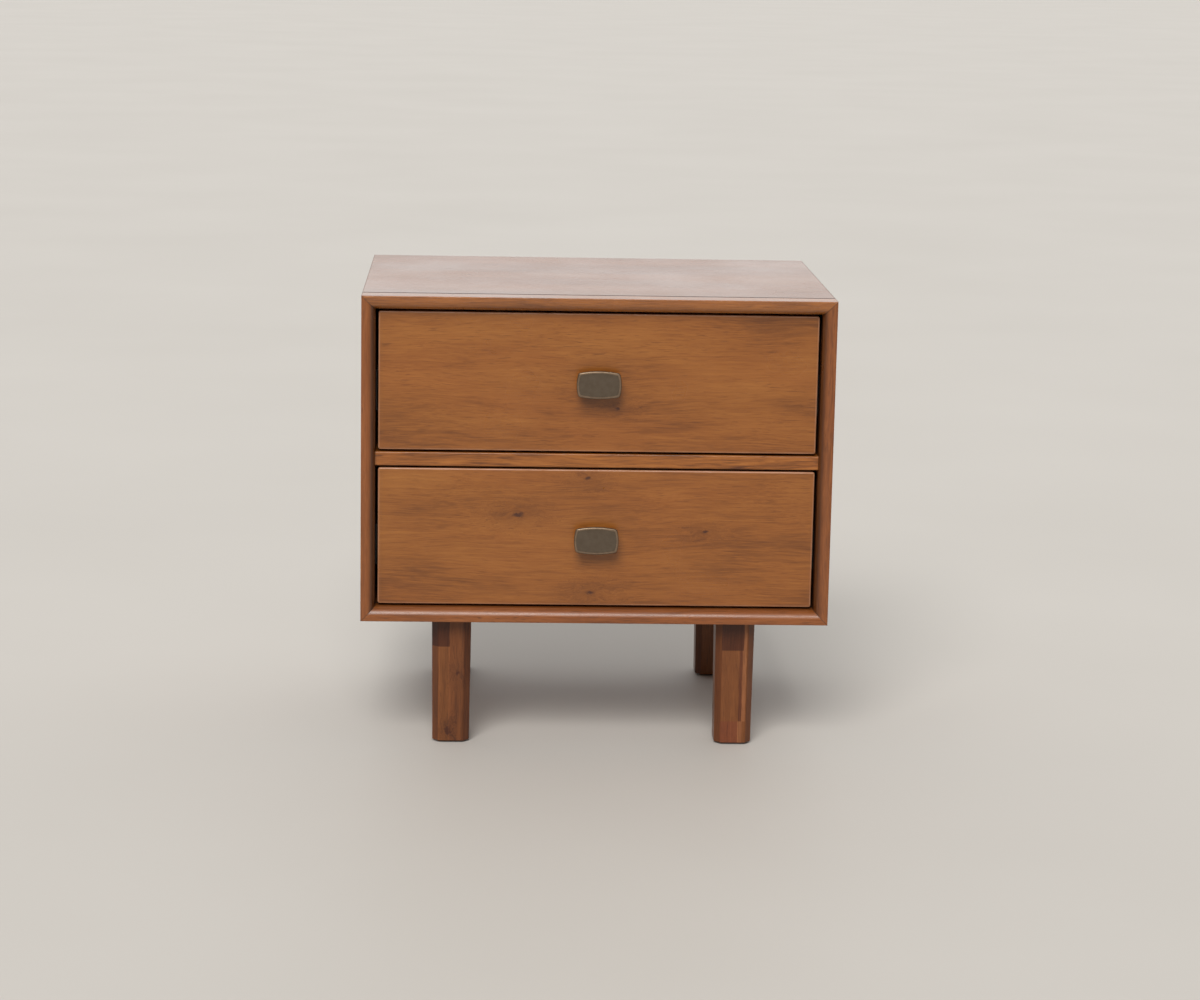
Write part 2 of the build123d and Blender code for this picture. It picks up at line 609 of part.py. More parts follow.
# ------------------------------------------------------------------ ball-bearing slides
# Sections are drawn in a plane whose X runs from the case wall to the drawer box, and whose Y is up.
# Each member is one bent sheet, given by the middle line of its upper half: (from wall, above centre).
BEND = 1.2
CABINET_SHEET_LINE = [(9.4, 20.2), (9.4, 21.9), (0.6, 21.9)]
MIDDLE_SHEET_LINE = [(10.6, 16.9), (3.6, 16.9)]
DRAWER_SHEET_LINE = [(5.8, 12.0), (SLIDE_THICKNESS - SHEET / 2, 12.0)]
ACCESS_RADIUS = 4.5  # holes in the middle member that a screwdriver reaches through
SCREW_CLEARANCE = 2.0

# Each row of balls: distance from the wall, height above the centre line, ball radius, cage's start and end.
BALL_ROWS = {
    "outer": (6.4, 19.4, 1.8, 2.4, 8.2),
    "inner": (8.2, 14.45, 1.75, 5.3, 10.6),
}
POCKET_ROOM = 0.06


def slide_section(drawer, sign):
    """The section plane of one slide, at its front end."""
    origin = (sign * INNER_X, from_front(SLIDE_FRONT_BACK), SLIDE_Z[drawer])
    return Plane(origin=origin, x_dir=(-sign, 0, 0), z_dir=(0, sign, 0))


def slide_member(drawer, sign, upper_line, hole_places=(), hole_radius=SCREW_CLEARANCE):
    """A channel bent from one sheet, with a row of holes in its web."""
    lower_line = [(u, -z) for u, z in reversed(upper_line)]
    with BuildPart() as made:
        with BuildSketch(slide_section(drawer, sign)):
            with BuildLine():
                FilletPolyline(*upper_line, *lower_line, radius=BEND)
            trace(line_width=SHEET)
        extrude(amount=sign * SLIDE_LENGTH)
        web = INNER_X - upper_line[-1][0]
        with Locations(*[on_wall(sign, web, back, SLIDE_Z[drawer], True) for back in hole_places]):
            Cylinder(hole_radius, 2 * SHEET, mode=Mode.SUBTRACT)
    return made


def ball_places(drawer, row):
    """The middles of the balls in one row of cages, as a list for each of the four cages."""
    from_wall, above, *_ = BALL_ROWS[row]
    pitch = CAGE_LENGTH / BALLS_PER_CAGE
    start = SLIDE_FRONT_BACK + (SLIDE_LENGTH - CAGE_LENGTH + pitch) / 2
    return [
        [
            (sign * (INNER_X - from_wall), from_front(start + i * pitch), SLIDE_Z[drawer] + up * above)
            for i in range(BALLS_PER_CAGE)
        ]
        for sign in SIDES.values()
        for up in (-1, 1)
    ]


def ball_cages(drawer, row):
    """The four flat strips, two in each slide, that keep one row of balls apart."""
    _, _, radius, near, far = BALL_ROWS[row]
    with BuildPart() as made:
        for places in ball_places(drawer, row):
            x, _, z = places[0]
            sign = 1 if x > 0 else -1
            edges = sorted([sign * (INNER_X - near), sign * (INNER_X - far)])
            start = from_front(SLIDE_FRONT_BACK + (SLIDE_LENGTH - CAGE_LENGTH) / 2)
            box_between(
                (edges[0], start, z - CAGE_SHEET / 2),
                (edges[1], start + CAGE_LENGTH, z + CAGE_SHEET / 2),
            )
            with Locations(*places):
                Cylinder(radius + POCKET_ROOM, 2 * CAGE_SHEET, mode=Mode.SUBTRACT)
    return made


def bearing_balls(drawer, row):
    """All the balls of one row of cages."""
    radius = BALL_ROWS[row][2]
    with BuildPart() as made:
        for places in ball_places(drawer, row):
            with Locations(*places):
                Sphere(radius)
    return made


def slide_screws(drawers, seat, outward, places, fastener):
    """The screws that hold slide members to the case's sides or to the drawer's sides."""
    with BuildPart() as made:
        for drawer in drawers:
            for sign in SIDES.values():
                with Locations(*[on_wall(sign, seat, back, SLIDE_Z[drawer], outward) for back in places]):
                    add(fastener)
    return made


for drawer in BAY_FLOOR:
    for name, sign in SIDES.items():
        write(
            slide_member(drawer, sign, CABINET_SHEET_LINE, SLIDE_SCREWS_BACK),
            f"{drawer}_{name}_slide_cabinet_member",
        )
        write(
            slide_member(drawer, sign, DRAWER_SHEET_LINE, BOX_SCREWS_BACK),
            f"{drawer}_{name}_slide_drawer_member",
        )
    with BuildPart() as middle_members:
        for sign in SIDES.values():
            add(slide_member(drawer, sign, MIDDLE_SHEET_LINE, SLIDE_SCREWS_BACK, ACCESS_RADIUS).part)
    write(middle_members, f"{drawer}_slide_middle_members")
    for row in BALL_ROWS:
        write(ball_cages(drawer, row), f"{drawer}_{row}_ball_cages")
        write(bearing_balls(drawer, row), f"{drawer}_{row}_bearing_balls")
    write(
        slide_screws([drawer], BOX_X + SHEET, True, BOX_SCREWS_BACK, box_screw),
        f"{drawer}_drawer_slide_screws",
    )
write(
    slide_screws(BAY_FLOOR, INNER_X - SHEET, False, SLIDE_SCREWS_BACK, case_screw),
    "case_slide_screws",
)
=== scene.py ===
"""Looks for the two-drawer nightstand: lacquered wood, darkened bronze knobs and black drawer slides.

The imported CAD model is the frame. Its nodes keep their shapes and take procedural materials from here.
Sizes are metres unless a name says MM, and noise scales are cycles per metre.
"""

import math

import bpy
from mathutils import Matrix, Vector


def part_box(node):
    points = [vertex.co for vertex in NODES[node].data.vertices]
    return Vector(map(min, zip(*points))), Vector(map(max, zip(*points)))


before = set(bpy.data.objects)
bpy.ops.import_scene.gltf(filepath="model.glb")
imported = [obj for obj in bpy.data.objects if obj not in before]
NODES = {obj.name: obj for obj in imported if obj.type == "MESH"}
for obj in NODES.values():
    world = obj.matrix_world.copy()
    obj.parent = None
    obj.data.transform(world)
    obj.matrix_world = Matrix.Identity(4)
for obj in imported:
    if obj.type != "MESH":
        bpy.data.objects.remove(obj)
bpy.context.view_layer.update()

MM = 0.001


def middle_of(name):
    low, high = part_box(name)
    return (Vector(low) + Vector(high)) / 2


def half_of(name):
    low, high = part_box(name)
    return (Vector(high) - Vector(low)) / 2


# The case's front and where its solid lipping meets the panels, read from the frame.
LIPPING_LOW, LIPPING_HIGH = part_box("top_front_lipping")
CASE_FRONT = LIPPING_LOW[1]
SEAM = LIPPING_HIGH[1]
CASE_LOW, CASE_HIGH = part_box("bottom_panel")[0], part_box("top_panel")[1]
CASE_MIDDLE = (Vector(CASE_LOW) + Vector(CASE_HIGH)) / 2
CASE_HALF = (Vector(CASE_HIGH) - Vector(CASE_LOW)) / 2


# ------------------------------------------------------------------ shader graph helper
class Graph:
    """A node tree under construction. Inputs may be numbers, colours or other nodes' sockets."""

    def __init__(self, owner, shader_kind, output_kind):
        owner.use_nodes = True
        self.owner = owner
        self.tree = owner.node_tree
        self.tree.nodes.clear()
        self.shader = self.node(shader_kind)
        output = self.node(output_kind)
        self.tree.links.new(self.shader.outputs[0], output.inputs["Surface"])

    def node(self, kind, settings=None, **inputs):
        made = self.tree.nodes.new("ShaderNode" + kind)
        for key, value in (settings or {}).items():
            setattr(made, key, value)
        for key, value in inputs.items():
            self.feed(made.inputs[key.replace("_", " ")], value)
        return made

    def feed(self, socket, value):
        if isinstance(value, bpy.types.NodeSocket):
            self.tree.links.new(value, socket)
        else:
            socket.default_value = value

    def place(self):
        """The surface point in the row's frame."""
        return self.node("TexCoord").outputs["Object"]

    def facing(self):
        """The surface normal in the row's frame, as its three parts."""
        return self.split(self.node("TexCoord").outputs["Normal"])

    def math(self, operation, a, b=0.0, clamp=False):
        made = self.node("Math", {"operation": operation, "use_clamp": clamp})
        self.feed(made.inputs[0], a)
        self.feed(made.inputs[1], b)
        return made.outputs[0]

    def off(self, value, centre):
        """How far a coordinate is from a centre, either way."""
        return self.math("ABSOLUTE", self.math("SUBTRACT", value, centre))

    def vector(self, operation, a, b):
        made = self.node("VectorMath", {"operation": operation})
        self.feed(made.inputs[0], a)
        self.feed(made.inputs[1], b)
        return made.outputs[1 if operation in ("LENGTH", "DISTANCE", "DOT_PRODUCT") else 0]

    def split(self, vector):
        return self.node("SeparateXYZ", Vector=vector).outputs

    def join(self, x, y, z):
        return self.node("CombineXYZ", X=x, Y=y, Z=z).outputs[0]

    def map(self, vector, scale=(1, 1, 1), turn=(0, 0, 0), shift=(0, 0, 0)):
        return self.node("Mapping", Vector=vector, Scale=scale, Rotation=turn, Location=shift).outputs[0]

    def noise(self, vector, detail=2.0, roughness=0.5, colour=False):
        made = self.node("TexNoise", Vector=vector, Scale=1.0, Detail=detail, Roughness=roughness)
        return made.outputs["Color" if colour else 0]

    def range(self, value, low, high, to_low=0.0, to_high=1.0, smooth=False):
        kind = "SMOOTHSTEP" if smooth else "LINEAR"
        made = self.node("MapRange", {"interpolation_type": kind}, Value=value)
        for key, number in (("From Min", low), ("From Max", high), ("To Min", to_low), ("To Max", to_high)):
            made.inputs[key].default_value = number
        return made.outputs[0]

    def within(self, value, low, high, soft):
        """1 where a value lies between two limits, with soft edges, and 0 elsewhere."""
        rise = self.range(value, low - soft, low + soft, smooth=True)
        fall = self.range(value, high - soft, high + soft, 1.0, 0.0, smooth=True)
        return self.math("MULTIPLY", rise, fall)

    def ramp(self, value, stops):
        made = self.node("ValToRGB", Fac=value)
        elements = made.color_ramp.elements
        while len(elements) < len(stops):
            elements.new(0.5)
        for element, (position, colour) in zip(elements, stops):
            element.position = position
            element.color = (*colour, 1.0)
        return made.outputs["Color"]

    def mix(self, amount, a, b, blend="MIX"):
        made = self.node("Mix", {"data_type": "RGBA", "blend_type": blend})
        self.feed(made.inputs[0], amount)
        self.feed(made.inputs[6], a if isinstance(a, bpy.types.NodeSocket) else (*a, 1.0))
        self.feed(made.inputs[7], b if isinstance(b, bpy.types.NodeSocket) else (*b, 1.0))
        return made.outputs[2]

    def grey(self, value):
        return self.join(value, value, value)

    def bump(self, height, distance, strength=1.0):
        made = self.node("Bump", Height=height, Distance=distance, Strength=strength)
        self.tree.links.new(made.outputs[0], self.shader.inputs["Normal"])

    def finish(self, **inputs):
        for key, value in inputs.items():
            self.feed(self.shader.inputs[key.replace("_", " ")], value)
        return self.owner


def material_graph(name):
    """The graph of a new material, round one principled shader."""
    return Graph(bpy.data.materials.new(name), "BsdfPrincipled", "OutputMaterial")


# ------------------------------------------------------------------ wood
GRAIN_TURN = {"X": (0, 0, 0), "Y": (0, 0, -math.pi / 2), "Z": (0, math.pi / 2, 0)}

HONEY = {"light": (0.335, 0.125, 0.024), "middle": (0.250, 0.083, 0.014), "dark": (0.115, 0.034, 0.006)}
AMBER = {"light": (0.400, 0.146, 0.028), "middle": (0.285, 0.094, 0.016), "dark": (0.100, 0.029, 0.006)}
RUSSET = {"light": (0.300, 0.104, 0.028), "middle": (0.215, 0.066, 0.015), "dark": (0.095, 0.028, 0.008)}
UMBER = {"light": (0.215, 0.076, 0.022), "middle": (0.150, 0.049, 0.013), "dark": (0.058, 0.019, 0.007)}
TAWNY = {"light": (0.270, 0.096, 0.022), "middle": (0.205, 0.068, 0.014), "dark": (0.110, 0.034, 0.008)}
BIRCH = {"light": (0.700, 0.520, 0.330), "middle": (0.620, 0.440, 0.260), "dark": (0.430, 0.280, 0.150)}
BROWN = {"light": (0.230, 0.130, 0.075), "middle": (0.180, 0.098, 0.055), "dark": (0.110, 0.058, 0.032)}
LACQUER_ROUGHNESS, LACQUER_IOR = 0.24, 1.5
NEARLY_BLACK = (0.016, 0.008, 0.005)
KNOT_HEART = (0.052, 0.014, 0.006)
# The painted highlight on the drawer fronts' rounded edges.
EDGE_HIGHLIGHT = (0.45, 0.225, 0.130)
KNOT_PULL = 1.7  # how far noise pulls a knot's outline about, in its own radii
SWIRL_LIMIT = 24 * MM  # the grain bends no further than this from a knot
HALF = (0.5, 0.5, 0.5)  # the middle of a colour noise


def knot_field(g, place, knots):
    """How near a point is to a knot: to its dark heart, and to the patch of grain that bends round it."""
    heart, swirl = 0.0, 0.0
    ragged = g.noise(g.map(place, (420, 420, 420)), detail=3)
    pulled = g.noise(g.map(place, (170, 170, 170)), detail=2, colour=True)
    pulled = g.vector("SUBTRACT", pulled, HALF)
    for centre, radius, stretch in knots:
        offset = g.vector("SUBTRACT", place, tuple(centre))
        offset = g.vector("ADD", offset, g.vector("MULTIPLY", pulled, (radius * KNOT_PULL,) * 3))
        offset = g.map(offset, stretch)
        distance = g.vector("LENGTH", offset, (0, 0, 0))
        distance = g.math("MULTIPLY", distance, g.range(ragged, 0, 1, 0.5, 1.5))
        reach = min(radius * 8, SWIRL_LIMIT)
        near = g.range(distance, radius * 0.25, radius, 1.0, 0.0, smooth=True)
        heart = g.math("MAXIMUM", heart, near)
        near = g.range(distance, 0.0, reach, 1.0, 0.0, smooth=True)
        swirl = g.math("MAXIMUM", swirl, near)
    return heart, swirl


def wood(
    name,
    grain,
    palette,
    seed,
    knots=(),
    contrast=1.0,
    gloss=0.30,
    coat=0.15,
    ior=1.45,
    cloud=0.12,
    details=(),
):
    """Lacquered wood, its grain along one axis: bands, streaks, fibres, dark flecks, pores and a few knots.

    Contrast is that of the streaks and flecks, and gloss is the mean roughness under the coat.
    Details are functions that add marks of their own, such as a seam, and painted shade and highlights, to
    the finished colour.
    """
    g = material_graph(name)
    place = g.place()
    shift = (seed * 1.37, seed * 0.71, seed * 0.53)
    board = g.map(place, turn=GRAIN_TURN[grain], shift=shift)

    heart, swirl = knot_field(g, place, knots) if knots else (0.0, 0.0)
    # Noise scales are for along the grain first, and then for the two ways across it.
    wander = g.noise(g.map(board, (2.6, 9, 9)), detail=3, colour=True)
    wander = g.vector("MULTIPLY", g.vector("SUBTRACT", wander, HALF), (0.0, 0.036, 0.036))
    if knots:
        bend = g.noise(g.map(board, (26, 55, 55)), detail=1, colour=True)
        bend = g.vector("MULTIPLY", g.vector("SUBTRACT", bend, HALF), (0.0, 0.034, 0.034))
        wander = g.vector("ADD", wander, g.vector("MULTIPLY", bend, g.grey(swirl)))
    flow = g.vector("ADD", board, wander)

    bands = g.noise(g.map(flow, (0.9, 15, 15)), detail=2)
    patches = g.noise(g.map(flow, (7, 34, 34)), detail=2)
    streaks = g.noise(g.map(flow, (11, 300, 300)), detail=3, roughness=0.66)
    fibres = g.noise(g.map(flow, (38, 1000, 1000)), detail=2, roughness=0.6)
    pores = g.range(g.noise(g.map(flow, (80, 1500, 1500)), detail=1), 0.60, 0.74)
    flecks = g.noise(g.map(flow, (48, 1100, 1100)), detail=1)
    flecks = g.math("MULTIPLY", g.range(flecks, 0.64, 0.73), g.range(patches, 0.40, 0.58))
    clouds = g.noise(g.map(flow, (4.5, 14, 14), shift=(7, 5, 3)), detail=3, roughness=0.6)

    tone = g.math("ADD", g.range(bands, 0.28, 0.72, 0.34, 0.66), g.range(patches, 0.3, 0.7, -0.08, 0.08))
    tone = g.math("ADD", tone, g.range(clouds, 0.3, 0.7, -cloud, cloud))
    tone = g.math("ADD", tone, g.range(streaks, 0.25, 0.75, -0.20 * contrast, 0.20 * contrast))
    tone = g.math("ADD", tone, g.range(fibres, 0.25, 0.75, -0.20, 0.20))
    colour = g.ramp(tone, [(0.0, palette["dark"]), (0.48, palette["middle"]), (1.0, palette["light"])])
    blush = g.range(g.noise(g.map(flow, (5, 22, 22), shift=(3, 1, 2)), detail=1), 0.35, 0.7)
    colour = g.mix(g.math("MULTIPLY", blush, 0.30), colour, (1.0, 0.86, 0.86), "MULTIPLY")
    colour = g.mix(g.math("MULTIPLY", pores, 0.35), colour, palette["dark"])
    colour = g.mix(g.math("MULTIPLY", flecks, min(0.65 * contrast, 0.95)), colour, palette["dark"])
    if knots:
        colour = g.mix(g.math("MULTIPLY", swirl, 0.30), colour, palette["dark"])
        colour = g.mix(g.math("MULTIPLY", heart, 0.92), colour, KNOT_HEART)

    smudges = g.noise(g.map(place, (9, 9, 9)), detail=3)
    roughness = g.range(smudges, 0.3, 0.7, gloss - 0.04, gloss + 0.05)
    roughness = g.math("ADD", roughness, g.math("MULTIPLY", pores, 0.12))
    for detail in details:
        colour, roughness = detail(g, place, colour, roughness)
    g.bump(g.math("SUBTRACT", g.math("MULTIPLY", fibres, 0.35), pores), 0.05 * MM, 0.5)
    return g.finish(
        Base_Color=colour,
        Roughness=roughness,
        IOR=ior,
        Coat_Weight=coat,
        Coat_Roughness=LACQUER_ROUGHNESS,
        Coat_IOR=LACQUER_IOR,
    )


def edge_distances(g, place, middle, half):
    """How far a point is inside the left or right edge of a box, and inside its top or bottom edge."""
    x, _, z = g.split(place)
    from_side = g.math("SUBTRACT", half.x, g.off(x, middle.x))
    from_end = g.math("SUBTRACT", half.z, g.off(z, middle.z))
    return from_side, from_end


def mark(g, amount, colour, roughness, mark_colour, mark_roughness=0.75):
    """Blend one mark into a finish."""
    colour = g.mix(amount, colour, mark_colour)
    rough_change = g.math("MULTIPLY", amount, g.math("SUBTRACT", mark_roughness, roughness))
    return colour, g.math("ADD", roughness, rough_change)


def painted_recess_shade(deep, darkest):
    """Painted shade: the colour is darkened where the lipping rounds back towards the drawers, and not
    outside.
    """

    def detail(g, place, colour, roughness):
        inwards = g.math("MINIMUM", *edge_distances(g, place, CASE_MIDDLE, CASE_HALF))
        inwards = g.range(inwards, 2 * MM, 4 * MM)
        behind = g.math("SUBTRACT", g.split(place)[1], CASE_FRONT)
        shade = g.range(behind, 0.2 * MM, deep, 0.0, 1.0 - darkest, smooth=True)
        kept = g.math("SUBTRACT", 1.0, g.math("MULTIPLY", shade, inwards))
        return g.mix(1.0, colour, g.grey(kept), "MULTIPLY"), roughness

    return detail


def seam_stain(g, place, colour, roughness):
    """Stain gathers in the V-groove where the lipping meets the panel, and on the lips of the groove."""
    amount = g.range(g.off(g.split(place)[1], SEAM), 1.4 * MM, 2.6 * MM, 1.0, 0.0, smooth=True)
    return mark(g, amount, colour, roughness, NEARLY_BLACK, 1.0)


def mitre_line(g, place, colour, roughness):
    """A thin dark joint line along the mitre in each corner of the case."""
    across = g.off(*edge_distances(g, place, CASE_MIDDLE, CASE_HALF))
    amount = g.range(across, 0.3 * MM, 0.8 * MM, 0.55, 0.0)
    return mark(g, amount, colour, roughness, NEARLY_BLACK)


def painted_edge_highlights(name):
    """Painted highlight on the rounded edges of one board's front, patchy along them."""
    middle, half = middle_of(name), half_of(name)

    def detail(g, place, colour, roughness):
        nearest = g.math("MINIMUM", *edge_distances(g, place, middle, half))
        uneven = g.noise(g.map(place, (40, 40, 40)), detail=3)
        near_edge = g.range(nearest, 0.6 * MM, 2.0 * MM, 0.9, 0.0)
        amount = g.math("MULTIPLY", near_edge, g.range(uneven, 0.3, 0.6, 0.5, 1))
        return mark(g, amount, colour, roughness, EDGE_HIGHLIGHT, 0.30)

    return detail


# ------------------------------------------------------------------ legs
# Tints multiply the wood's own colour, so that its grain shows through them. Most are the colours of real
# blocks, and some are painted shadow and painted highlight, as said below.
# The dark tops of the front legs: partly a darker block and partly painted shadow cast by the case.
DARK_BLOCK_AND_SHADOW = (0.42, 0.32, 0.32)
DIM_BLOCK = (0.98, 0.94, 0.98)
RED_BLOCK = (1.00, 0.84, 1.10)
# Pale strips: partly lighter wood and partly a painted highlight along the edge of a chamfer.
PALE_STRIP_AND_HIGHLIGHT = (1.45, 1.60, 2.10)
STREAK = (0.70, 0.60, 0.74)
# Light lines: a glue line at the stave joint, and a painted highlight along the left chamfer's edge.
GLUE_LINE_AND_HIGHLIGHT = (1.25, 1.25, 1.30)
# Painted shade on the legs' chamfered corners.
CHAMFER_SHADE = (0.76, 0.70, 0.72)
CHAMFER_STARTS, CHAMFER_FULL = 13.2 * MM, 14.6 * MM  # from the leg's middle, both ways at once
BLOCK_SOFT, JOINT_SOFT, RAGGED = 0.5 * MM, 0.4 * MM, 0.5 * MM

# Each leg is glued from staves, and some staves are made of blocks joined end to end. A block runs, in
# millimetres, (from, to) across the leg's middle and (from, to) above the floor. FAR and HIGH are past
# the leg's sides, its foot and its head.
FAR, HIGH = 30.0, 200.0
# Not all entries are blocks: the dark tops of the front legs are partly painted shadow, and the pale strips
# and light lines at the chamfers' edges are partly painted highlight.
LEG_BLOCKS_MM = {
    "front_left_leg": [
        (-FAR, -2.0, 108.7, HIGH, DARK_BLOCK_AND_SHADOW),
        (-2.0, FAR, -FAR, HIGH, DIM_BLOCK),
        (-14.0, -12.5, 0.0, 108.7, GLUE_LINE_AND_HIGHLIGHT),
        (-2.8, -1.6, 0.0, 108.7, GLUE_LINE_AND_HIGHLIGHT),
    ],
    "front_right_leg": [
        (-14.0, 10.0, 107.0, HIGH, DARK_BLOCK_AND_SHADOW),
        (-14.0, 5.0, 0.0, 26.6, RED_BLOCK),
        (5.5, 9.0, 26.6, 107.0, STREAK),
        (9.0, 13.0, 26.6, 141.0, PALE_STRIP_AND_HIGHLIGHT),
        (5.0, 10.0, 0.0, 26.6, PALE_STRIP_AND_HIGHLIGHT),
    ],
    "rear_left_leg": [(3.0, FAR, -FAR, HIGH, DIM_BLOCK)],
    "rear_right_leg": [(-FAR, -5.0, 60.0, HIGH, DIM_BLOCK)],
}


def staves_and_painted_light(name):
    """The blocks of one leg, some partly painted shadow and highlight, and painted shade on its chamfered
    corners.
    """
    middle = middle_of(name)

    def detail(g, place, colour, roughness):
        x, y, z = g.split(place)
        across = g.math("SUBTRACT", x, middle.x)
        ragged = g.noise(g.map(place, (260, 260, 60)), detail=3)
        ragged = g.range(ragged, 0.3, 0.7, -RAGGED, RAGGED)
        for left, right, low, high, tint in LEG_BLOCKS_MM[name]:
            inside_x = g.within(g.math("ADD", across, ragged), left * MM, right * MM, BLOCK_SOFT)
            inside_z = g.within(z, low * MM, high * MM, JOINT_SOFT)
            colour = g.mix(g.math("MULTIPLY", inside_x, inside_z), colour, tint, "MULTIPLY")
        corner = g.math("MINIMUM", g.math("ABSOLUTE", across), g.off(y, middle.y))
        chamfer = g.range(corner, CHAMFER_STARTS, CHAMFER_FULL, smooth=True)
        return g.mix(chamfer, colour, CHAMFER_SHADE, "MULTIPLY"), roughness

    return detail


# ------------------------------------------------------------------ plywood
PLY = 1.5 * MM  # the thickness of one layer
DARK_LAYERS = (0.33, 0.20, 0.10), (0.45, 0.29, 0.16)  # between these two colours


def ply_edges(name, thin_axis):
    """Where the edge of a plywood board shows, its layers run alternately light and dark."""
    low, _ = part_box(name)

    def detail(g, place, colour, roughness):
        on_face = g.math("ABSOLUTE", g.facing()[thin_axis])
        on_edge = g.range(on_face, 0.3, 0.7, 1.0, 0.0)
        depth = g.math("DIVIDE", g.math("SUBTRACT", g.split(place)[thin_axis], low[thin_axis]), 2 * PLY)
        layer = g.within(g.math("FRACT", depth), 0.05, 0.5, 0.05)
        ragged = g.noise(g.map(place, (700, 700, 700)), detail=2)
        dark_layer = g.mix(ragged, *DARK_LAYERS)
        amount = g.math("MULTIPLY", g.math("MULTIPLY", on_edge, layer), 0.8)
        return g.mix(amount, colour, dark_layer), roughness

    return detail


# ------------------------------------------------------------------ metals and plastic
DARK_BRONZE = (0.118, 0.088, 0.062)
BROWN_BRONZE = (0.140, 0.108, 0.078)
# The raised rim: partly rubbed wear and partly a painted highlight.
RUBBED_RIM_AND_HIGHLIGHT = (0.235, 0.165, 0.110)


def darkened_bronze(name):
    """Cast bronze, browned all over and lighter on the raised rim: partly rubbed wear and partly a painted
    highlight.
    """
    g = material_graph(name + "_bronze")
    place = g.place()
    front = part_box(name)[0][1]
    patches = g.noise(g.map(place, (160, 160, 160)), detail=4, roughness=0.6)
    brushing = g.noise(g.map(place, (90, 2500, 2500)), detail=2)
    grains = g.noise(g.map(place, (2600, 2600, 2600)), detail=2)
    depth = g.math("SUBTRACT", g.split(place)[1], front)
    rim = g.range(depth, 0.10 * MM, 0.40 * MM, 1.0, 0.0, smooth=True)
    rim = g.math("MULTIPLY", rim, g.range(patches, 0.3, 0.6, 0.55, 1.0))
    colour = g.ramp(patches, [(0.3, DARK_BRONZE), (0.7, BROWN_BRONZE)])
    colour = g.mix(rim, colour, RUBBED_RIM_AND_HIGHLIGHT)
    brushed = g.range(brushing, 0.3, 0.7, 0.38, 0.48)
    roughness = g.math("ADD", brushed, g.range(patches, 0.3, 0.7, -0.03, 0.03))
    roughness = g.math("SUBTRACT", roughness, g.math("MULTIPLY", rim, 0.04))
    g.bump(g.math("ADD", g.math("MULTIPLY", grains, 0.6), brushing), 0.03 * MM, 0.4)
    return g.finish(Base_Color=colour, Metallic=0.85, Roughness=roughness)


def bright_metal(name, colour, roughness, line_scale=(40, 1800, 1800)):
    """Plain or plated metal: fine rolling or turning lines and a cloudy spangle."""
    g = material_graph(name)
    place = g.place()
    clouds = g.noise(g.map(place, (70, 70, 70)), detail=4)
    lines = g.noise(g.map(place, line_scale), detail=2)
    dim = tuple(part * 0.80 for part in colour)
    tone = g.ramp(clouds, [(0.25, dim), (0.75, colour)])
    rolled = g.range(lines, 0.3, 0.7, roughness - 0.06, roughness + 0.06)
    rough = g.math("ADD", rolled, g.range(clouds, 0.3, 0.7, 0, 0.06))
    g.bump(lines, 0.02 * MM, 0.4)
    return g.finish(Base_Color=tone, Metallic=1.0, Roughness=rough)


def black_coat():
    """Thin black electrocoat over sheet steel, slightly cloudy, with faint rubbing along the travel."""
    g = material_graph("black_coat")
    place = g.place()
    clouds = g.noise(g.map(place, (60, 60, 60)), detail=4)
    rubs = g.noise(g.map(place, (1600, 20, 1600)), detail=3)
    colour = g.ramp(clouds, [(0.3, (0.012, 0.012, 0.013)), (0.75, (0.022, 0.022, 0.024))])
    colour = g.mix(g.range(rubs, 0.62, 0.75, 0.0, 0.35), colour, (0.10, 0.10, 0.105))
    g.bump(clouds, 0.03 * MM, 0.4)
    return g.finish(Base_Color=colour, Roughness=g.range(rubs, 0.3, 0.7, 0.38, 0.50), Metallic=0.0)


def moulded_plastic():
    """The glides' dark plastic, lightly scuffed."""
    g = material_graph("moulded_plastic")
    place = g.place()
    scuffs = g.noise(g.map(place, (300, 900, 300)), detail=4)
    colour = g.ramp(scuffs, [(0.35, (0.020, 0.018, 0.016)), (0.75, (0.055, 0.050, 0.045))])
    g.bump(scuffs, 0.05 * MM, 0.5)
    return g.finish(Base_Color=colour, Roughness=g.range(scuffs, 0.3, 0.7, 0.45, 0.65))


# ------------------------------------------------------------------ stand
FLOOR_HALF = 40.0


def pale_floor():
    """A wide, plain, pale floor."""
    g = material_graph("pale_floor")
    clouds = g.noise(g.map(g.place(), (1.5, 1.5, 1.5)), detail=3)
    colour = g.ramp(clouds, [(0.2, (0.49, 0.465, 0.43)), (0.8, (0.52, 0.495, 0.46))])
    material = g.finish(Base_Color=colour, Roughness=0.6)
    mesh = bpy.data.meshes.new("floor")
    corners = [(FLOOR_HALF * x, FLOOR_HALF * y, 0) for x, y in ((-1, -1), (1, -1), (1, 1), (-1, 1))]
    mesh.from_pydata(corners, [], [(0, 1, 2, 3)])
    mesh.materials.append(material)
    floor = bpy.data.objects.new("floor", mesh)
    bpy.context.scene.collection.objects.link(floor)


# Soft light: a broad key from the upper left in front, in a room that is dim in front and bright behind.
KEY_STRENGTH, KEY_SPREAD = 2.9, math.radians(32)
KEY_HEIGHT, KEY_LEFT = math.radians(43), math.radians(12)
KEY_COLOUR = (1.0, 0.985, 0.96)
ROOM_DIM, ROOM_BEHIND, ROOM_ABOVE = 0.20, 0.84, 0.32
ROOM_COLOUR = (1.0, 0.99, 0.975, 1.0)


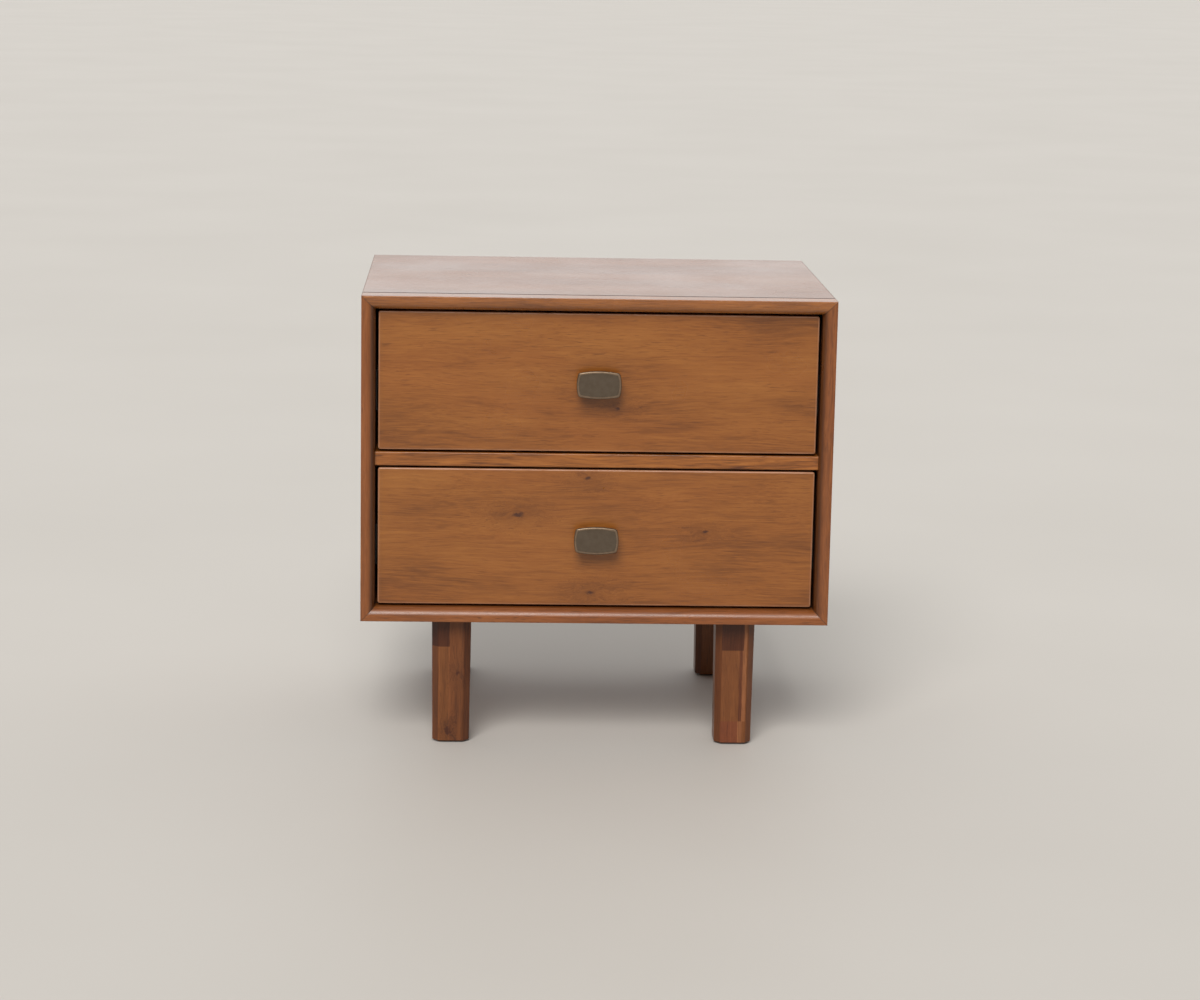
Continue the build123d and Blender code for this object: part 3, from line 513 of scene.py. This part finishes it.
def studio():
    """The room as a soft gradient all round, and the key light."""
    g = Graph(bpy.data.worlds.new("studio"), "Background", "OutputWorld")
    _, back, up = g.split(g.vector("NORMALIZE", g.node("TexCoord").outputs["Generated"], (0, 0, 0)))
    behind = g.range(back, 0.05, 0.75, 0.0, ROOM_BEHIND, smooth=True)
    above = g.range(up, 0.30, 0.95, 0.0, ROOM_ABOVE, smooth=True)
    strength = g.math("ADD", g.math("ADD", behind, above), ROOM_DIM)
    bpy.context.scene.world = g.finish(Color=ROOM_COLOUR, Strength=strength)

    key = bpy.data.lights.new("key", "SUN")
    key.energy = KEY_STRENGTH
    key.angle = KEY_SPREAD
    key.color = KEY_COLOUR
    lamp = bpy.data.objects.new("key", key)
    flat = math.cos(KEY_HEIGHT)
    towards_lamp = Vector((-math.sin(KEY_LEFT) * flat, -math.cos(KEY_LEFT) * flat, math.sin(KEY_HEIGHT)))
    lamp.rotation_euler = (-towards_lamp).to_track_quat("-Z", "Y").to_euler()
    bpy.context.scene.collection.objects.link(lamp)
    bpy.context.scene.view_settings.view_transform = "Standard"


# The camera's place is measured from the middle of the case's top front edge.
CAMERA_OFFSET = Vector((-0.126, -3.124, 0.401))
YAW, PITCH, ROLL = math.radians(2.37), math.radians(11.2), math.radians(1.09)
LENS_MM, SENSOR_MM = 88.74, 36.0
SIGHT = 200.0  # how far the camera sees


def camera():
    edge = Vector((CASE_MIDDLE.x, CASE_FRONT, CASE_HIGH[2]))
    data = bpy.data.cameras.new("camera")
    data.lens, data.sensor_width = LENS_MM, SENSOR_MM
    data.clip_end = SIGHT
    made = bpy.data.objects.new("camera", data)
    turn = Matrix.Rotation(-YAW, 4, "Z") @ Matrix.Rotation(math.pi / 2 - PITCH, 4, "X")
    turn = turn @ Matrix.Rotation(ROLL, 4, "Z")
    made.matrix_world = Matrix.Translation(edge + CAMERA_OFFSET) @ turn
    bpy.context.scene.collection.objects.link(made)
    bpy.context.scene.camera = made


# ------------------------------------------------------------------ giving the nodes their materials
def dress(names, material):
    """Put one material on every slot of these nodes."""
    for name in names:
        for slot in NODES[name].material_slots:
            slot.material = material


def named(*parts):
    return [name for name in NODES if any(part in name for part in parts)]


# Knots, as (right of a board's middle, above it, radius, how much it is drawn out sideways) in millimetres.
# Each runs right through its board.
KNOTS_MM = {
    "upper_drawer_front": [(21, -28, 2.2, 1.8)],
    "lower_drawer_front": [
        (-85, 25, 3.8, 2.4),
        (-10, 66, 2.6, 2.0),
        (-5, -61, 3.0, 2.0),
        (119, 8, 2.2, 2.0),
    ],
    "front_left_leg": [(-4, -56, 7.5, 0.6), (7, 8, 4.5, 0.6)],
}


def knots_on(name):
    middle = middle_of(name)
    places = KNOTS_MM.get(name, ())
    return [
        (middle + Vector((right * MM, 0, up * MM)), radius * MM, (1 / drawn_out, 0, 1))
        for right, up, radius, drawn_out in places
    ]


# Painted shade in the recess is given its depth behind the case's front, and how much colour it leaves there.
CASE_MARKS = (seam_stain, mitre_line)
RAIL_SHADE_AND_MARKS = (painted_recess_shade(9.0 * MM, 0.85), *CASE_MARKS)
RIGHT_SHADE_AND_MARKS = (painted_recess_shade(4.0 * MM, 0.42), *CASE_MARKS)
LEFT_SHADE_AND_MARKS = (painted_recess_shade(3.2 * MM, 0.30), *CASE_MARKS)
dress(["top_panel"], wood("top_veneer", "X", TAWNY, 1, gloss=0.24, ior=1.6, details=CASE_MARKS))
dress(["bottom_panel"], wood("bottom_veneer", "X", RUSSET, 2, details=CASE_MARKS))
dress(["left_side_panel"], wood("left_veneer", "Z", RUSSET, 3, details=CASE_MARKS))
dress(["right_side_panel"], wood("right_veneer", "Z", RUSSET, 4, details=CASE_MARKS))
dress(["top_front_lipping"], wood("top_lipping_wood", "X", AMBER, 5, gloss=0.24, ior=1.6, details=RAIL_SHADE_AND_MARKS))
dress(["bottom_front_lipping"], wood("bottom_lipping_wood", "X", RUSSET, 6, contrast=1.5, details=RAIL_SHADE_AND_MARKS))
dress(["left_front_lipping"], wood("left_lipping_wood", "Z", RUSSET, 7, contrast=1.2, details=LEFT_SHADE_AND_MARKS))
dress(["right_front_lipping"], wood("right_lipping_wood", "Z", RUSSET, 8, contrast=1.4, details=RIGHT_SHADE_AND_MARKS))
dress(["divider_rail"], wood("divider_wood", "X", AMBER, 9, contrast=2.6))
for number, name in enumerate(("upper_drawer_front", "lower_drawer_front")):
    looks = dict(cloud=0.24, details=(painted_edge_highlights(name),))
    dress([name], wood(name + "_wood", "X", HONEY, 11 + number, knots_on(name), **looks))
for number, name in enumerate(LEG_BLOCKS_MM):
    looks = dict(contrast=1.2, gloss=0.36, coat=0.0, ior=1.4, details=(staves_and_painted_light(name),))
    dress([name], wood(name + "_wood", "Z", UMBER, 15 + number, knots_on(name), **looks))
for number, drawer in enumerate(("upper", "lower")):
    for name, grain, thin_axis in (
        (f"{drawer}_drawer_left_side", "Y", 0),
        (f"{drawer}_drawer_right_side", "Y", 0),
        (f"{drawer}_drawer_box_front", "X", 1),
        (f"{drawer}_drawer_box_back", "X", 1),
        (f"{drawer}_drawer_base", "X", 2),
    ):
        layers = ply_edges(name, thin_axis)
        dress([name], wood(name + "_ply", grain, BIRCH, 21 + number, gloss=0.42, details=(layers,)))
dress(["back_panel"], wood("back_board", "X", BROWN, 25, coat=0.0, gloss=0.55))
hidden_wood = wood("plain_hardwood", "X", BIRCH, 26, coat=0.0, gloss=0.6)
dress(["leg_blocks", "mitre_splines", "divider_dowels"], hidden_wood)

for name in named("_knob"):
    if not name.endswith("screw"):
        dress([name], darkened_bronze(name))
dress(named("_member"), black_coat())
dress(named("ball_cages"), bright_metal("cage_sheet", (0.50, 0.49, 0.47), 0.38))
dress(named("bearing_balls"), bright_metal("ball_steel", (0.76, 0.76, 0.78), 0.12, (400, 400, 400)))
dress(named("screw", "bolts"), bright_metal("screw_zinc", (0.60, 0.60, 0.61), 0.32, (900, 900, 900)))
dress(["leg_threaded_inserts"], bright_metal("insert_brass", (0.70, 0.52, 0.24), 0.30, (900, 900, 900)))
dress(["foot_glides"], moulded_plastic())

# ------------------------------------------------------------------ stage, light and camera
pale_floor()
studio()
camera()
